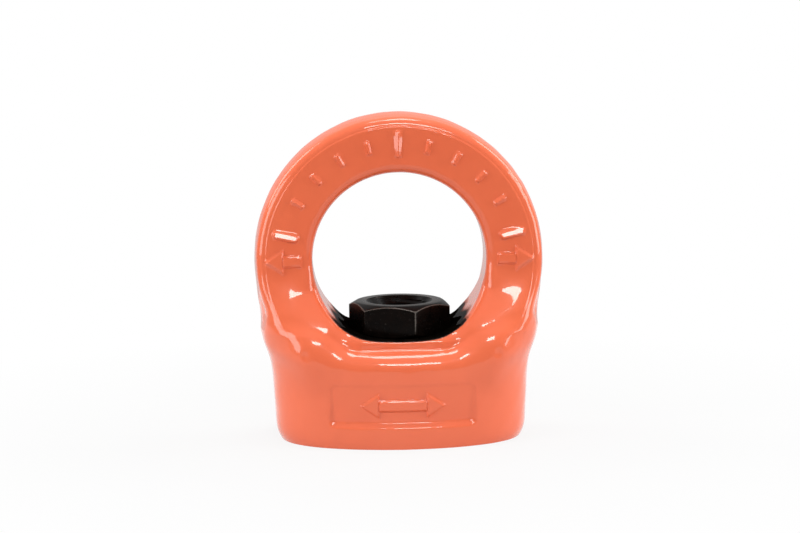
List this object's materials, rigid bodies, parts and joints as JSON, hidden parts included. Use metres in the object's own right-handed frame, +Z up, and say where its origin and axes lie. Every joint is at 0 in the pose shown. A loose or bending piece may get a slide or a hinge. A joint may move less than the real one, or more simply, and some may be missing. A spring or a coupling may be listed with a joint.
{
  "type": "lifting eye nut",
  "caption": "Swivelling lifting eye nut: a forged, painted eye on an oval base that turns on a blackened hexagon nut kept in its bore.",
  "frame": {"origin": "middle of the base's flat underside, on the axis of the thread", "axes": "+Z up along the thread's axis towards the eye, X across the eye, Y through the eye; the marked face looks along -Y"},
  "size_m": [0.0764, 0.0412, 0.0866],
  "materials": {
    "paint": "glossy orange powder coat over a forging",
    "blackened": "black oxide on machined steel, satin",
    "spring_steel": "plain spring steel"
  },
  "bodies": {
    "eye": {"eye_body": "paint"},
    "nut": {"hex_nut": "blackened", "retaining_ring": "spring_steel"}
  },
  "joints": [
    {"name": "nut_spin", "type": "hinge", "parent": "eye", "child": "nut", "pos_m": [0, 0, 0.02], "axis": [0, 0, 1], "continuous": true}
  ]
}
